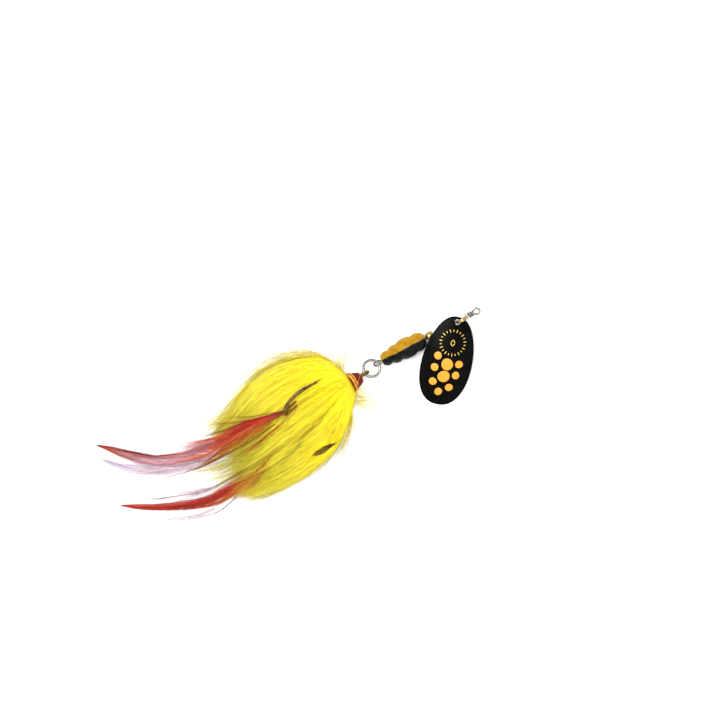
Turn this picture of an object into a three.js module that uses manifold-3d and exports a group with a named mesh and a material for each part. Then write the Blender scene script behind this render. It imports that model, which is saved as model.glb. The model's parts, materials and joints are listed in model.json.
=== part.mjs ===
// An inline spinner, lying on a table: a wire shaft with a line eye, a dished blade on a
// stirrup clevis, brass bearing beads, a lobed body, and a split ring that carries a treble
// hook dressed with bucktail and hackle feathers.
//
// Millimetres, +Z up. The shaft is parallel to X, with the line eye at the +X end. Positions
// along the shaft are counted from the blade's hole, and the last lines move the finished
// group so that its origin is the middle of its footprint, on the table.
import * as THREE from "three";
import { mergeVertices } from "three/addons/utils/BufferGeometryUtils.js";
import Module from "manifold-3d";

const wasm = await Module();
wasm.setup();

const degrees = Math.PI / 180;

// Shaft wire and its two loops
const shaftHeight = 4.7; // axis above the table: the largest lobe of the body rests on it
const shaftWire = 0.9;
const wrapRadius = 0.95; // centreline of what lies beside the shaft: the wraps and the tag end
const lineEye = { x: 9.4, radius: 1.35, wraps: 2, wrapFront: 7.45, wrapPitch: 1.0 };
const rearLoop = { x: -39.35, radius: 1.75, roll: 120 * degrees, tagEnd: -33.2 };

// Clevis: a brass strip bent to a stirrup, with a holed ear at each end
const clevisStrip = { thickness: 0.5, width: 1.3 };
const clevis = { rear: -0.5, front: 4.4, height: 7.0, earRadius: 1.4, earHole: 0.62 };
const clevisLean = 4 * degrees; // the blade pulls the stirrup this far over

// Blade: an egg-shaped dish, hung by a hole near its narrow end
const bladeSize = { length: 40, width: 22.3, thickness: 0.8, dish: 2.4 };
const bladeHole = { radius: 1.3, fromEnd: 2.3 };
const bladeTurn = 48.7 * degrees; // between the shaft and the blade, seen from above
const bladeHoleAt = new THREE.Vector3(-0.5, -0.3, 9.15);
const bladePitch = 11.6 * degrees; // far end down
const bladeRoll = 5.7 * degrees; // the side away from the shaft down

// Beads and body, all turned and free on the shaft
const beadBore = 0.6;
const beads = [
  { name: "bearing_bead_front", x: -2.75, radius: 1.7 },
  { name: "bearing_bead_middle", x: -7.3, radius: 2.0 },
  { name: "bearing_bead_rear", x: -13.7, radius: 2.1 },
];
const body = { rear: -37.2, front: -16.0, bore: 0.65, pocket: 1.5, pocketEnd: -32.0 };
const lobes = [
  { x: -34.7, radius: 3.3, half: 3.1 },
  { x: -30.5, radius: 4.15, half: 3.9 },
  { x: -25.1, radius: 4.7, half: 5.0 },
  { x: -19.8, radius: 4.15, half: 4.4 },
];
const landHalf = 0.6; // the largest lobe has a short straight land at its middle

// Split ring: two turns of wire, one on top of the other
const ring = { radius: 3.65, wire: 0.66, pitch: 0.7, turns: 1.96 };
const ringFront = new THREE.Vector3(-39.3, 0, 4.7);
const ringYaw = 13 * degrees;
const ringPitch = 12.5 * degrees; // its rear side is the higher one

// Treble hook: a double hook bent from one wire, and a third one brazed between them
const hookWire = 1.5;
const hook = { length: 43.3, spread: 19.3, point: 24.4, tip: 5.2, eyeRadius: 1.8 };
const shankOffset = 0.92; // each of the three wires from the shank's axis
const hookTurns = { upper: 66 * degrees, side: 186 * degrees, lower: 306 * degrees };
const hookEye = new THREE.Vector3(-46.7, -1.85, 6.25);
const hookYaw = 2.3 * degrees;
const hookPitch = 20.5 * degrees; // the bends are higher than the eye

// Dressing
const head = { start: 2.3, neck: 2.4, end: 8.3, rim: 4.7, bore: 2.05 };
const slotHalf = 1.3; // the hair parts this far to each side of a hook
const hairStart = 8.7; // along the shank
const featherHalfHeight = 0.45;

const colours = {
  steel: new THREE.MeshStandardMaterial({ color: 0x9a9a98, roughness: 0.3, metalness: 1 }),
  bronze: new THREE.MeshStandardMaterial({ color: 0x5d4a33, roughness: 0.4, metalness: 0.9 }),
  brass: new THREE.MeshStandardMaterial({ color: 0xc9a45a, roughness: 0.25, metalness: 1 }),
  black: new THREE.MeshStandardMaterial({ color: 0x17171a, roughness: 0.35, metalness: 0 }),
  amber: new THREE.MeshStandardMaterial({ color: 0xe8a81c, roughness: 0.3, metalness: 0 }),
  thread: new THREE.MeshStandardMaterial({ color: 0x9a1414, roughness: 0.35, metalness: 0 }),
  yellow: new THREE.MeshStandardMaterial({ color: 0xf5e41c, roughness: 0.7, metalness: 0 }),
  red: new THREE.MeshStandardMaterial({ color: 0xc42a22, roughness: 0.7, metalness: 0 }),
  pale: new THREE.MeshStandardMaterial({ color: 0xd9c3cc, roughness: 0.7, metalness: 0 }),
};

// ---- Geometry to solid and back ----

function solidOf(geometry) {
  const bare = geometry.clone();
  bare.deleteAttribute("normal");
  bare.deleteAttribute("uv");
  const merged = mergeVertices(bare, 1e-4);
  return new wasm.Manifold(
    new wasm.Mesh({
      numProp: 3,
      vertProperties: merged.attributes.position.array,
      triVerts: new Uint32Array(merged.index.array),
    }),
  );
}

function geometryOf(solid) {
  const mesh = solid.getMesh();
  const geometry = new THREE.BufferGeometry();
  geometry.setAttribute("position", new THREE.BufferAttribute(mesh.vertProperties, 3));
  geometry.setIndex(new THREE.BufferAttribute(mesh.triVerts, 1));
  geometry.computeVertexNormals();
  return geometry;
}

function named(name, geometry, material) {
  const mesh = new THREE.Mesh(geometry, material);
  mesh.name = name;
  return mesh;
}

// ---- Shapes that several parts share ----

// A round wire along a curve, closed by a flat face at each end
function wireAlong(points, diameter, step, sides = 8) {
  const curve = new THREE.CatmullRomCurve3(points, false, "centripetal");
  curve.arcLengthDivisions = 1200;
  const section = new THREE.Shape().absarc(0, 0, diameter / 2, 0, 2 * Math.PI);
  return new THREE.ExtrudeGeometry(section, {
    extrudePath: curve,
    steps: Math.ceil(curve.getLength() / step),
    curveSegments: sides,
  });
}

// Points on an arc in the plane of two directions
function arcPoints(centre, across, along, radius, from, to, count) {
  return Array.from({ length: count + 1 }, (_, i) => {
    const angle = from + ((to - from) * i) / count;
    return centre
      .clone()
      .addScaledVector(across, radius * Math.cos(angle))
      .addScaledVector(along, radius * Math.sin(angle));
  });
}

// A closed profile of [radius, position along X] turned about the X axis
function turned(profile, segments) {
  const points = profile.map(([radius, x]) => new THREE.Vector2(radius, x));
  const geometry = new THREE.LatheGeometry([...points, points[0]], segments);
  return geometry.rotateZ(-Math.PI / 2);
}

// A round rod along X, for cutting holes
function rodAlongX(radius, from, to) {
  const rod = new THREE.CylinderGeometry(radius, radius, to - from, 20);
  return rod.rotateZ(Math.PI / 2).translate((from + to) / 2, 0, 0);
}

// A sphere's mesh moved so that its poles are the ends of a long soft shape. The station
// function takes the way along, 0 to 1, and gives a middle point and two half sizes.
function lofted(station, around, along, width, height) {
  const geometry = new THREE.SphereGeometry(1, around, along);
  const position = geometry.attributes.position;
  const point = new THREE.Vector3();
  for (let i = 0; i < position.count; i++) {
    point.fromBufferAttribute(position, i);
    const part = Math.acos(THREE.MathUtils.clamp(point.y, -1, 1)) / Math.PI;
    const turn = Math.atan2(point.z, point.x);
    const onAxis = Math.hypot(point.x, point.z) < 1e-6;
    const at = station(part);
    point.copy(at.middle);
    if (!onAxis) {
      point.addScaledVector(width, at.halfWidth * Math.cos(turn));
      point.addScaledVector(height, at.halfHeight * Math.sin(turn));
    }
    position.setXYZ(i, point.x, point.y, point.z);
  }
  return geometry;
}

// ---- Shaft ----

function shaftWireMesh() {
  const x = new THREE.Vector3(1, 0, 0);
  const across = new THREE.Vector3(0, Math.cos(rearLoop.roll), Math.sin(rearLoop.roll));
  const beside = (position, offset) =>
    x.clone().multiplyScalar(position).addScaledVector(across, offset);
  const loop = arcPoints(beside(rearLoop.x, 0), x, across, rearLoop.radius,
    34 * degrees, 322 * degrees, 14);
  const eye = arcPoints(new THREE.Vector3(lineEye.x, 0, 0), x, new THREE.Vector3(0, 1, 0),
    lineEye.radius, -145 * degrees, 140 * degrees, 14);
  const wraps = Array.from({ length: 12 * lineEye.wraps + 1 }, (_, i) => {
    const turn = (i * 2 * Math.PI) / 12 + 50 * degrees;
    return new THREE.Vector3(
      lineEye.wrapFront - (lineEye.wrapPitch * i) / 12,
      wrapRadius * Math.cos(turn),
      wrapRadius * Math.sin(turn),
    );
  });
  const points = [
    beside(rearLoop.tagEnd, wrapRadius),
    beside(-35.2, wrapRadius),
    beside(-37.1, wrapRadius),
    ...loop,
    beside(-36.9, 0),
    beside(-35.0, 0),
    beside(-20, 0),
    beside(-5, 0),
    beside(5.5, 0),
    beside(7.3, 0),
    ...eye,
    ...wraps,
  ];
  return named("shaft_wire", wireAlong(points, shaftWire, 0.72), colours.steel);
}

// ---- Clevis ----

function clevisMesh() {
  const half = clevisStrip.thickness / 2;
  const middle = (clevis.rear + clevis.front) / 2;
  const outer = (clevis.front - clevis.rear) / 2 + half;
  const inner = outer - clevisStrip.thickness;
  const bowHeight = clevis.height - outer;
  const outline = new THREE.Shape()
    .moveTo(clevis.rear - half, 0)
    .lineTo(clevis.rear - half, bowHeight)
    .absarc(middle, bowHeight, outer, Math.PI, 0, true)
    .lineTo(clevis.front + half, 0)
    .lineTo(clevis.front - half, 0)
    .lineTo(clevis.front - half, bowHeight)
    .absarc(middle, bowHeight, inner, 0, Math.PI, false)
    .lineTo(clevis.rear + half, 0);
  const stirrup = new THREE.ExtrudeGeometry(outline, {
    depth: clevisStrip.width,
    bevelEnabled: false,
    curveSegments: 14,
  });
  stirrup.translate(0, 0, -clevisStrip.width / 2).rotateX(Math.PI / 2);
  let solid = solidOf(stirrup);
  for (const ear of [clevis.rear, clevis.front])
    solid = solid.add(solidOf(rodAlongX(clevis.earRadius, ear - half, ear + half)));
  const hole = solidOf(rodAlongX(clevis.earHole, clevis.rear - 1, clevis.front + 1));
  return named("clevis", geometryOf(solid.subtract(hole)), colours.brass);
}

// ---- Blade ----

// Half the blade's width, for the angle that runs from 0 at the hole end to pi at the far end
function bladeHalfWidth(angle) {
  const egg = Math.sin(angle) ** 0.85 * (1 - 0.1 * Math.cos(angle));
  return (bladeSize.width / 2 / 1.006) * egg;
}

// Built with the hole at the origin, the far end along +X and the crown of the dish up
function bladeMesh() {
  const along = (angle) => (bladeSize.length * (1 - Math.cos(angle))) / 2 - bladeHole.fromEnd;
  const steps = 30;
  const sideOf = (sign) =>
    Array.from({ length: steps }, (_, i) => {
      const angle = (Math.PI * (i + (sign > 0 ? 0 : 1))) / steps;
      const turn = sign > 0 ? angle : Math.PI - angle + Math.PI / steps;
      return new THREE.Vector2(along(turn), sign * bladeHalfWidth(turn));
    });
  const outline = new THREE.Shape([...sideOf(-1).reverse(), ...sideOf(1).reverse()]);
  outline.holes.push(new THREE.Path().absarc(0, 0, bladeHole.radius, 0, 2 * Math.PI));
  const prism = new THREE.ExtrudeGeometry(outline, {
    depth: 20,
    bevelEnabled: false,
    curveSegments: 20,
  }).translate(0, 0, -10);

  // The dish is a shallow paraboloid shell, stretched along the blade
  const rings = 9;
  const reach = 1.16;
  const shell = [];
  for (let i = 0; i <= rings; i++) {
    const r = (reach * i) / rings;
    shell.push(new THREE.Vector2(r, -bladeSize.dish * r * r - bladeSize.thickness / 2));
  }
  for (let i = rings; i >= 0; i--) {
    const r = (reach * i) / rings;
    shell.push(new THREE.Vector2(r, -bladeSize.dish * r * r + bladeSize.thickness / 2));
  }
  const dish = new THREE.LatheGeometry(shell, 44).rotateX(Math.PI / 2);
  const crown = bladeSize.length / 2 - bladeHole.fromEnd;
  dish.scale(bladeSize.length / 2, bladeSize.width / 2, 1);
  dish.translate(crown, 0, bladeSize.dish * (crown / (bladeSize.length / 2)) ** 2);
  const solid = solidOf(prism).intersect(solidOf(dish));
  return named("blade", geometryOf(solid), colours.black);
}

// ---- Beads and body ----

function beadMesh({ name, x, radius }) {
  const start = Math.asin(beadBore / radius);
  const profile = Array.from({ length: 15 }, (_, i) => {
    const angle = start + ((Math.PI - 2 * start) * i) / 14;
    return [radius * Math.sin(angle), x - radius * Math.cos(angle)];
  });
  return named(name, turned(profile, 24), colours.brass);
}

function bodyRadius(x) {
  return Math.max(...lobes.map((lobe) => {
    const flat = lobe.radius === 4.7 ? landHalf : 0;
    const away = Math.max(0, Math.abs(x - lobe.x) - flat) / lobe.half;
    return away < 1 ? lobe.radius * Math.sqrt(1 - away * away) : 0;
  }));
}

function bodyMesh() {
  const steps = 38;
  const profile = [[body.bore, body.front]];
  for (let i = 0; i <= steps; i++) {
    const x = body.front + ((body.rear - body.front) * i) / steps;
    profile.push([bodyRadius(x), x]);
  }
  profile.push([body.pocket, body.rear], [body.pocket, body.pocketEnd]);
  profile.push([body.bore, body.pocketEnd]);
  const segments = 28; // turned half a segment, so that a flat faces the table
  const solid = turned(profile.reverse(), segments).rotateX(Math.PI / segments);
  return named("lobed_body", solid, colours.amber);
}

// ---- Split ring ----

// Built with its front at the origin and its middle one radius behind that
function splitRingMesh() {
  const count = Math.round(32 * ring.turns);
  const points = Array.from({ length: count + 1 }, (_, i) => {
    const turn = ((i / count) * ring.turns + 0.25) * 2 * Math.PI;
    return new THREE.Vector3(
      ring.radius * (Math.cos(turn) - 1),
      ring.radius * Math.sin(turn),
      ring.pitch * ring.turns * (i / count - 0.5),
    );
  });
  return named("split_ring", wireAlong(points, ring.wire, 0.75), colours.steel);
}

// ---- Treble hook, with its eye at the origin and its shank along -X ----

const backwards = new THREE.Vector3(-1, 0, 0);
const outwards = (turn) => new THREE.Vector3(0, Math.cos(turn), Math.sin(turn));
const bendRadius = (hook.spread - shankOffset) / 2;
const bendStart = hook.length - bendRadius - hookWire / 2;

// From the front of the shank, round the bend, to where the tapered point begins
function hookPoints(turn, start) {
  const out = outwards(turn);
  const at = (along, away) =>
    backwards.clone().multiplyScalar(along).addScaledVector(out, away);
  const bend = arcPoints(at(bendStart, shankOffset + bendRadius), out, backwards, bendRadius,
    Math.PI, 0, 12);
  return [
    at(start, shankOffset),
    at((start + bendStart) / 2, shankOffset),
    at(bendStart - 4, shankOffset),
    ...bend,
    at(hook.point + hook.tip, hook.spread - 0.15),
  ];
}

// The tapered point and its barb
function hookTip(turn) {
  const tip = new THREE.ConeGeometry(hookWire / 2, hook.tip + 0.4, 8);
  tip.translate(0, (hook.tip - 0.4) / 2, 0).rotateZ(-Math.PI / 2);
  const barb = new THREE.ConeGeometry(0.42, 2.6, 4).rotateZ(Math.PI / 2 + 0.5);
  barb.translate(0.9, -0.62, 0);
  const whole = solidOf(tip).add(solidOf(barb));
  const out = outwards(turn);
  const place = new THREE.Matrix4()
    .makeRotationX(turn)
    .setPosition(out.clone().multiplyScalar(hook.spread - 0.15)
      .addScaledVector(backwards, hook.point + hook.tip));
  return solidOf(geometryOf(whole).applyMatrix4(place));
}

function doubleHookMesh() {
  const upper = hookPoints(hookTurns.upper, 4.2);
  const lower = hookPoints(hookTurns.lower, 4.2);
  const level = outwards(hookTurns.side).multiplyScalar(-shankOffset / 2);
  const upright = outwards(hookTurns.side + Math.PI / 2).negate();
  const eye = arcPoints(level, backwards, upright, hook.eyeRadius,
    42 * degrees, 318 * degrees, 14);
  const points = [...upper.reverse(), ...eye, ...lower];
  const solid = solidOf(wireAlong(points, hookWire, 1.45))
    .add(hookTip(hookTurns.upper))
    .add(hookTip(hookTurns.lower));
  return named("double_hook", geometryOf(solid), colours.bronze);
}

function thirdHookMesh() {
  const solid = solidOf(wireAlong(hookPoints(hookTurns.side, 3.0), hookWire, 1.45))
    .add(hookTip(hookTurns.side));
  return named("third_hook", geometryOf(solid), colours.bronze);
}

// ---- Dressing ----

function threadHeadMesh() {
  const profile = [
    [head.bore, -head.end],
    [head.rim - 0.4, -head.end],
    [head.rim, -head.end + 0.7],
    [head.rim - 0.3, -head.end + 1.8],
    [(head.rim + head.neck) / 2, -(head.end + head.start) / 2],
    [head.neck, -head.start - 0.5],
    [head.bore, -head.start],
  ];
  return named("thread_head", turned(profile, 24), colours.thread);
}

// The whole dressing's outline: position along X, both sides, top and underside
const hairOutline = [
  { x: -53.6, left: 0.2, right: -5.2, top: 11.0, low: 5.5 },
  { x: -57.5, left: 11.5, right: -13.5, top: 16.5, low: 1.0 },
  { x: -65.0, left: 19.0, right: -21.5, top: 21.5, low: -0.8 },
  { x: -76.0, left: 21.2, right: -27.5, top: 26.0, low: -1.2 },
  { x: -89.0, left: 19.0, right: -29.6, top: 27.0, low: -1.2 },
  { x: -101.0, left: 13.5, right: -28.4, top: 23.0, low: -1.0 },
  { x: -112.0, left: 8.0, right: -26.5, top: 15.0, low: -0.6 },
  { x: -121.0, left: 1.0, right: -22.0, top: 6.0, low: 0.4 },
];

function hairStation(part) {
  const value = (key) => {
    const points = hairOutline.map((row, i) => new THREE.Vector3(i, row[key], 0));
    const curve = new THREE.CatmullRomCurve3(points, false, "catmullrom");
    return curve.getPoint(part).y;
  };
  return {
    middle: new THREE.Vector3(value("x"), (value("left") + value("right")) / 2,
      (value("top") + value("low")) / 2),
    halfWidth: (value("left") - value("right")) / 2,
    halfHeight: (value("top") - value("low")) / 2,
  };
}

const sideways = new THREE.Vector3(0, 1, 0);
const downwards = new THREE.Vector3(0, 0, -1);

// Everything between one hook and the next, round the shank
function wedgeSolid(turn) {
  const reach = 70;
  const corner = (angle) => new THREE.Vector2(Math.sin(angle), Math.cos(angle));
  const third = (2 * Math.PI) / 3;
  const apex = corner(turn + third / 2).multiplyScalar(slotHalf / Math.sin(third / 2));
  const first = apex.clone().addScaledVector(corner(turn), reach);
  const last = apex.clone().addScaledVector(corner(turn + third), reach);
  const far = first.clone().addScaledVector(corner(turn + third), reach);
  const prism = new THREE.ExtrudeGeometry(new THREE.Shape([apex, first, far, last]), {
    depth: 100,
    bevelEnabled: false,
  });
  prism.rotateY(-Math.PI / 2).translate(-hairStart, 0, 0);
  return solidOf(prism.applyMatrix4(hookPlace()));
}

function hookPlace() {
  const turn = new THREE.Euler(0, hookPitch, hookYaw, "ZYX");
  return new THREE.Matrix4().makeRotationFromEuler(turn).setPosition(hookEye);
}

// Feathers: spine points from the root to the tip, and half the widest part
const feathers = [
  {
    name: "feather_top",
    colour: "red",
    halfWidth: 4.2,
    spine: [[-88, 0, 28], [-97.1, 0.3, 26], [-111.9, 0.25, 18.8], [-126.7, 0.2, 12],
      [-141.6, 4.6, 6.2], [-153.7, 14.4, 2.8], [-164.4, 24.9, 0.8]],
  },
  {
    name: "feather_middle",
    colour: "pale",
    halfWidth: 3.2,
    spine: [[-108, -3.5, 14.5], [-118, -3.2, 10.8], [-129, -2.4, 7], [-140, -1, 3.8],
      [-150.5, 1.8, 1.8], [-158.5, 6, 0.8]],
  },
  {
    name: "feather_side",
    colour: "red",
    halfWidth: 3.6,
    spine: [[-103, -17, 7.5], [-117.2, -19.2, 4.6], [-127.9, -20.9, 2.8],
      [-141.5, -18.7, 1.5], [-157.2, -10.9, 0.9], [-167.5, -3.5, 0.7]],
  },
];

function featherGeometry({ spine, halfWidth }, margin) {
  const curve = new THREE.CatmullRomCurve3(spine.map((p) => new THREE.Vector3(...p)));
  const station = (part) => ({
    middle: curve.getPoint(part)
      .addScaledVector(curve.getTangent(part), margin * (2 * part - 1)),
    halfWidth: halfWidth * Math.sin(Math.PI * (0.12 + 0.8 * part)) + margin,
    halfHeight: featherHalfHeight + margin,
  });
  return lofted(station, 10, 26, sideways, downwards);
}

function hairMeshes() {
  const whole = solidOf(lofted(hairStation, 26, 18, sideways, downwards));
  const above = new THREE.BoxGeometry(120, 100, 60).translate(-90, 0, 30);
  const free = feathers.reduce(
    (solid, feather) => solid.subtract(solidOf(featherGeometry(feather, 0.4))),
    whole.intersect(solidOf(above)),
  );
  const parts = [
    ["hair_top", hookTurns.upper],
    ["hair_under", hookTurns.side],
    ["hair_side", hookTurns.lower],
  ];
  return parts.map(([name, turn]) =>
    named(name, geometryOf(free.intersect(wedgeSolid(turn))), colours.yellow));
}

// ---- The assembly ----

function bladePlaced() {
  const blade = bladeMesh();
  blade.position.copy(bladeHoleAt);
  blade.rotation.set(-bladeRoll, bladePitch, Math.PI + bladeTurn, "ZYX");
  return blade;
}

function shaftGroup() {
  const group = new THREE.Group();
  group.position.z = shaftHeight;
  const stirrup = clevisMesh();
  stirrup.rotation.x = clevisLean;
  group.add(shaftWireMesh(), stirrup, ...beads.map(beadMesh), bodyMesh());
  return group;
}

function ringPlaced() {
  const splitRing = splitRingMesh();
  splitRing.position.copy(ringFront);
  splitRing.rotation.set(0, ringPitch, ringYaw, "ZYX");
  return splitRing;
}

function hookGroup() {
  const group = new THREE.Group();
  group.position.copy(hookEye);
  group.rotation.set(0, hookPitch, hookYaw, "ZYX");
  group.add(doubleHookMesh(), thirdHookMesh(), threadHeadMesh());
  return group;
}

const spinner = new THREE.Group();
spinner.name = "inline_spinner";
spinner.add(shaftGroup(), bladePlaced(), ringPlaced(), hookGroup());
spinner.add(...hairMeshes());
for (const feather of feathers)
  spinner.add(named(feather.name, featherGeometry(feather, 0), colours[feather.colour]));

spinner.updateMatrixWorld(true);
const box = new THREE.Box3().setFromObject(spinner, true);
const middle = box.getCenter(new THREE.Vector3());
spinner.position.set(-middle.x, -middle.y, -box.min.z);

export default spinner;
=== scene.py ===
import json
import math
import bpy
import numpy as np
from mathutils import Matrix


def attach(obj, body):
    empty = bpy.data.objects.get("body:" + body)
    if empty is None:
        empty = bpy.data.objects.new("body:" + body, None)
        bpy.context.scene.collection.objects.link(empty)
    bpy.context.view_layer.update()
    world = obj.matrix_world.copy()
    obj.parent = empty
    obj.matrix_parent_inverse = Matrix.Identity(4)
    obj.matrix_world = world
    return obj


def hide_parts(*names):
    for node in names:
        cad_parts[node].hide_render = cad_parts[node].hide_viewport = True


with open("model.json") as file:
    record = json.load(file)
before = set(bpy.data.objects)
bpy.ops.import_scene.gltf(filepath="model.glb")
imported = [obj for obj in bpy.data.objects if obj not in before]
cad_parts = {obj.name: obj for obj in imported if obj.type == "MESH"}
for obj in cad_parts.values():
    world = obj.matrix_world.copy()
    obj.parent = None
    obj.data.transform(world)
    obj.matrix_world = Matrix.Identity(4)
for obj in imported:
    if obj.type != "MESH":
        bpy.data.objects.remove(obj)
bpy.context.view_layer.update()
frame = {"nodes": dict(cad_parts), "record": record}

# An inline spinner on a pale table. Shapes are worked out in millimetres from the point of the
# shaft's axis under the blade's hole, with heights counted from the table.
jointsByName = {joint["name"]: joint for joint in frame["record"]["behaviour"]["joints"]}
shaftX, shaftY, shaftZ = (1000 * value for value in jointsByName["clevis_spin"]["pos_m"])


def placed(points):  # millimetres from the shaft's point, to metres in the frame
    return (np.asarray(points, float) + [shaftX, shaftY, 0]) / 1000


def unit(vectors):
    return vectors / np.maximum(np.linalg.norm(vectors, axis=-1, keepdims=True), 1e-9)


def smoothPath(points, count):
    # Catmull-Rom: each piece of the curve leaves its point along the chord of its neighbours
    points = np.asarray(points, float)
    padded = np.vstack([2 * points[0] - points[1], points, 2 * points[-1] - points[-2]])
    spot = np.linspace(0, len(points) - 1, count)
    first = np.minimum(spot.astype(int), len(points) - 2)
    part = (spot - first)[:, None]
    a, b, c, d = (padded[first + i] for i in range(4))
    return 0.5 * (2 * b + (c - a) * part + (2 * a - 5 * b + 4 * c - d) * part ** 2
                  + (3 * b - a - 3 * c + d) * part ** 3)


def evenPath(points, step):  # the same curve with its points an even step apart
    dense = smoothPath(points, 40 * len(points))
    run = np.concatenate([[0], np.cumsum(np.linalg.norm(np.diff(dense, axis=0), axis=1))])
    spots = np.linspace(0, run[-1], max(4, int(run[-1] / step)))
    return np.stack([np.interp(spots, run, dense[:, i]) for i in range(3)], axis=1)


def arc(centre, across, along, radius, start, end, count):  # angles in degrees
    angle = np.radians(np.linspace(start, end, count))[:, None]
    return (np.asarray(centre, float)
            + radius * (np.cos(angle) * np.asarray(across) + np.sin(angle) * np.asarray(along)))


def turnAboutZ(degrees):
    c, s = math.cos(math.radians(degrees)), math.sin(math.radians(degrees))
    return np.array([[c, -s, 0], [s, c, 0], [0, 0, 1]])


def turnAboutY(degrees):
    c, s = math.cos(math.radians(degrees)), math.sin(math.radians(degrees))
    return np.array([[c, 0, s], [0, 1, 0], [-s, 0, c]])


def turnAboutX(degrees):
    c, s = math.cos(math.radians(degrees)), math.sin(math.radians(degrees))
    return np.array([[1, 0, 0], [0, c, -s], [0, s, c]])


def gridFaces(rows, columns, ring):
    # each grid cell is one face; columns always close on themselves, and rows do on a ring
    last = rows if ring else rows - 1
    row, column = np.meshgrid(np.arange(last), np.arange(columns), indexing="ij")
    nextRow, nextColumn = (row + 1) % rows, (column + 1) % columns
    quads = np.stack([row * columns + column, row * columns + nextColumn,
                      nextRow * columns + nextColumn, nextRow * columns + column], axis=-1)
    faces = [quads.reshape(-1, 4)]
    if not ring:  # a fan to a pole at each end
        around = np.arange(columns)
        top = (rows - 1) * columns
        faces.append(np.stack([np.full(columns, rows * columns), (around + 1) % columns,
                               around], axis=1))
        faces.append(np.stack([np.full(columns, rows * columns + 1), top + around,
                               top + (around + 1) % columns], axis=1))
    return faces


def gridPoints(grid, ring):
    # the grid's own points, and without a ring also the middle of its first and its last row
    points = grid.reshape(-1, 3)
    if not ring:
        points = np.vstack([points, grid[0].mean(axis=0), grid[-1].mean(axis=0)])
    return points


def tubeGrid(path, radius, sides, squash=(1, 1), lead=(0.31, 0.22, 0.93)):
    # a point is the path's point plus the radius times (cosine of the side + sine of the lift),
    # and the side is carried from one point of the path to the next without twist
    tangent = unit(np.gradient(path, axis=0))
    side = np.empty_like(path)
    side[0] = unit(np.cross(tangent[0], lead))
    for i in range(1, len(path)):
        side[i] = unit(side[i - 1] - tangent[i] * side[i - 1].dot(tangent[i]))
    lift = np.cross(tangent, side)
    angle = np.linspace(0, 2 * np.pi, sides, endpoint=False)[None, :, None]
    reach = np.broadcast_to(radius, len(path))[:, None, None]
    return path[:, None] + reach * (squash[0] * np.cos(angle) * side[:, None]
                                    + squash[1] * np.sin(angle) * lift[:, None])


def lathePoints(profile, columns):  # profile of (radius, place along X), turned about the shaft
    profile = np.asarray(profile, float)
    angle = np.linspace(0, 2 * np.pi, columns, endpoint=False)[None, :]
    radius = profile[:, :1]
    return np.stack([np.broadcast_to(profile[:, 1:], (len(profile), columns)),
                     radius * np.cos(angle), radius * np.sin(angle)], axis=-1)


def strandGrid(paths, radius):
    # paths is strand by point by 3; each point gets three corners round the strand's own way
    tangent = unit(np.gradient(paths, axis=1))
    side = unit(np.cross(tangent, [0.12, 0.31, 0.94]))
    lift = np.cross(tangent, side)
    angle = (2 * np.pi / 3) * np.arange(3)[None, None, :, None]
    reach = radius[:, :, None, None]
    return paths[:, :, None] + reach * (np.cos(angle) * side[:, :, None]
                                        + np.sin(angle) * lift[:, :, None])


def strandFaces(strands, points):
    # three faces to each stretch of a strand and one at each end, repeated for every strand
    row, column = np.meshgrid(np.arange(points - 1), np.arange(3), indexing="ij")
    nextColumn = (column + 1) % 3
    quads = np.stack([row * 3 + column, row * 3 + nextColumn, (row + 1) * 3 + nextColumn,
                      (row + 1) * 3 + column], axis=-1).reshape(-1, 4)
    ends = np.array([[2, 1, 0], [0, 1, 2]]) + [[0], [3 * (points - 1)]]
    offset = (np.arange(strands) * 3 * points)[:, None, None]
    return [(quads + offset).reshape(-1, 4), (ends + offset).reshape(-1, 3)]


def facingOut(points, faces):  # turns all faces round if the solid they close is negative
    volume = 0
    for face in faces:
        corners = points[face]
        for i in range(1, face.shape[1] - 1):
            volume += np.einsum("ij,ij->", corners[:, 0],
                                np.cross(corners[:, i], corners[:, i + 1]))
    return faces if volume > 0 else [face[:, ::-1] for face in faces]


def addPiece(name, points, faces, finish, body, slot, stands=(), marks=None):
    points = placed(points)
    faces = facingOut(points, faces)
    corners = np.concatenate([face.ravel() for face in faces]).astype(np.int32)
    sizes = np.concatenate([np.full(len(face), face.shape[1]) for face in faces])
    mesh = bpy.data.meshes.new(name)
    mesh.vertices.add(len(points))
    mesh.vertices.foreach_set("co", points.ravel())
    mesh.loops.add(len(corners))
    mesh.loops.foreach_set("vertex_index", corners)
    mesh.polygons.add(len(sizes))
    mesh.polygons.foreach_set("loop_start", np.concatenate([[0], np.cumsum(sizes)[:-1]]))
    for mark, values in (marks or {}).items():
        attribute = mesh.attributes.new(mark, "FLOAT", "POINT")
        attribute.data.foreach_set("value", np.asarray(values, np.float32).ravel())
    mesh.update(calc_edges=True)
    mesh.shade_smooth()
    mesh.materials.append(finish)
    piece = bpy.data.objects.new(name, mesh)
    bpy.context.scene.collection.objects.link(piece)
    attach(piece, body)
    if stands:
        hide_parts(*stands)
    return piece


def addGrid(name, grid, ring, *rest, marks=None, **more):
    rows, columns = grid.shape[:2]
    if marks and not ring:
        marks = {mark: np.concatenate([values.ravel(), [values[0].mean(), values[-1].mean()]])
                 for mark, values in marks.items()}
    return addPiece(name, gridPoints(grid, ring), gridFaces(rows, columns, ring), *rest,
                    marks=marks, **more)


def addStrands(name, paths, radius, marks, *rest, **more):
    # marks holds a value for each strand, or for each point of each strand
    strands, points = paths.shape[:2]
    full = {mark: np.broadcast_to(values if values.ndim == 2 else values[:, None],
                                  (strands, points))[:, :, None].repeat(3, axis=2)
            for mark, values in marks.items()}
    grid = strandGrid(paths, radius)
    return addPiece(name, grid.reshape(-1, 3), strandFaces(strands, points), *rest,
                    marks=full, **more)


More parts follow.
